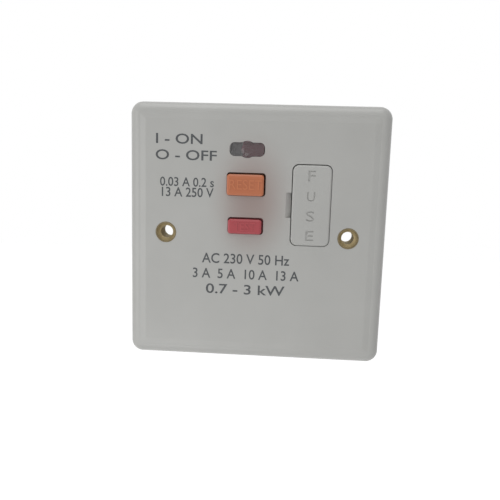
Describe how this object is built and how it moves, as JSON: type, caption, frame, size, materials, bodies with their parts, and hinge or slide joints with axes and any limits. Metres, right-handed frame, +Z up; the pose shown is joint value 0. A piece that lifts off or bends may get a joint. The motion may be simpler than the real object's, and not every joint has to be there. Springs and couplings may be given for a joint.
{
  "type": "rcd fused connection unit",
  "caption": "Square white wall plate with a status window, reset and test buttons, and a draw-out fuse carrier, in front of a deep moulded housing.",
  "frame": {"origin": "centre of the square plate on the wall plane, midway between the fixing holes", "axes": "+X to the right as seen from the room, +Y into the wall, +Z up"},
  "size_m": [0.086, 0.0367, 0.086],
  "materials": {
    "white_urea": "moulded, soft gloss",
    "orange_button": "moulded",
    "red_button": "moulded",
    "clear_lens": "moulded clear plastic",
    "black_flag": "moulded",
    "red_flag": "moulded",
    "grey_housing": "moulded",
    "inner_nylon": "moulded",
    "brass": "pressed",
    "terminal_brass": "machined",
    "plated_steel": "zinc plated",
    "copper": "drawn",
    "board_green": "laminate",
    "component_black": "moulded",
    "varistor_blue": "dipped",
    "resistor_tan": "lacquered",
    "ferrite_core": "sintered",
    "fuse_ceramic": "glazed ceramic"
  },
  "bodies": {
    "unit": {"front_plate": "white_urea", "left_eyelet": "brass", "right_eyelet": "brass", "window_lens": "clear_lens", "flag_lever_pin": "plated_steel", "reset_spring": "plated_steel", "neutral_load_contact": "copper", "live_load_contact": "copper", "neutral_strip": "copper", "live_strip": "copper", "fuse_feed_strip": "copper", "earth_strap": "brass", "test_spring": "plated_steel", "test_contact": "brass", "test_resistor": "resistor_tan", "circuit_board": "board_green", "board_screws": "plated_steel", "control_chip": "component_black", "smoothing_capacitor": "component_black", "surge_varistor": "varistor_blue", "toroid_core": "ferrite_core", "toroid_winding": "copper", "solenoid_bobbin": "inner_nylon", "solenoid_winding": "copper", "solenoid_yoke": "plated_steel", "upper_fuse_clip": "copper", "lower_fuse_clip": "copper", "inner_frame": "inner_nylon", "rear_housing": "grey_housing", "housing_screws": "plated_steel", "load_neutral_terminal": "terminal_brass", "load_live_terminal": "terminal_brass", "load_earth_terminal": "terminal_brass", "supply_neutral_terminal": "terminal_brass", "supply_earth_terminal": "terminal_brass", "supply_live_terminal": "terminal_brass"},
    "reset": {"reset_button": "orange_button", "contact_carriage": "inner_nylon", "neutral_moving_contact": "copper", "live_moving_contact": "copper"},
    "flag_lever": {"flag_lever": "inner_nylon"},
    "flag": {"status_flag": "black_flag", "flag_red_panel": "red_flag"},
    "trip_plunger": {"trip_plunger": "plated_steel", "plunger_tip": "inner_nylon"},
    "test": {"test_button": "red_button"},
    "fuse_carrier": {"fuse_carrier": "white_urea", "fuse_tube": "fuse_ceramic", "fuse_caps": "plated_steel"},
    "load_neutral_screw": {"load_neutral_screw": "plated_steel"},
    "load_live_screw": {"load_live_screw": "plated_steel"},
    "load_earth_screw": {"load_earth_screw": "plated_steel"},
    "supply_neutral_screw": {"supply_neutral_screw": "plated_steel"},
    "supply_earth_screw": {"supply_earth_screw": "plated_steel"},
    "supply_live_screw": {"supply_live_screw": "plated_steel"}
  },
  "joints": [
    {"name": "reset_slide", "type": "slide", "parent": "unit", "child": "reset", "axis": [0, -1, 0], "range_m": [0, 0.0025], "deforming": ["reset_spring"]},
    {"name": "flag_lever_hinge", "type": "hinge", "parent": "unit", "child": "flag_lever", "pos_m": [-0.003, 0.005, 0.0233], "axis": [0, 0, 1], "range_deg": [0, 53.93]},
    {"name": "flag_slide", "type": "slide", "parent": "unit", "child": "flag", "axis": [1, 0, 0], "range_m": [0, 0.0068]},
    {"name": "trip_plunger_slide", "type": "slide", "parent": "unit", "child": "trip_plunger", "axis": [-1, 0, 0], "range_m": [0, 0.002]},
    {"name": "test_slide", "type": "slide", "parent": "unit", "child": "test", "axis": [0, 1, 0], "range_m": [0, 0.0015], "stiffness_N_per_m": 800, "springref_m": -0.002, "deforming": ["test_spring"]},
    {"name": "fuse_carrier_slide", "type": "slide", "parent": "unit", "child": "fuse_carrier", "axis": [0, -1, 0], "range_m": [0, 0.016]},
    {"name": "load_neutral_screw_slide", "type": "slide", "parent": "unit", "child": "load_neutral_screw", "axis": [0, -1, 0], "range_m": [0, 0.0033]},
    {"name": "load_live_screw_slide", "type": "slide", "parent": "unit", "child": "load_live_screw", "axis": [0, -1, 0], "range_m": [0, 0.0033]},
    {"name": "load_earth_screw_slide", "type": "slide", "parent": "unit", "child": "load_earth_screw", "axis": [0, -1, 0], "range_m": [0, 0.0033]},
    {"name": "supply_neutral_screw_slide", "type": "slide", "parent": "unit", "child": "supply_neutral_screw", "axis": [0, -1, 0], "range_m": [0, 0.0033]},
    {"name": "supply_earth_screw_slide", "type": "slide", "parent": "unit", "child": "supply_earth_screw", "axis": [0, -1, 0], "range_m": [0, 0.0033]},
    {"name": "supply_live_screw_slide", "type": "slide", "parent": "unit", "child": "supply_live_screw", "axis": [0, -1, 0], "range_m": [0, 0.0033]}
  ],
  "couplings": [
    {"joint": "flag_lever_hinge", "follows": "reset_slide", "rad_per_m": 376.4},
    {"joint": "flag_slide", "follows": "reset_slide", "ratio": 2.72},
    {"joint": "trip_plunger_slide", "follows": "reset_slide", "ratio": 0.8}
  ]
}
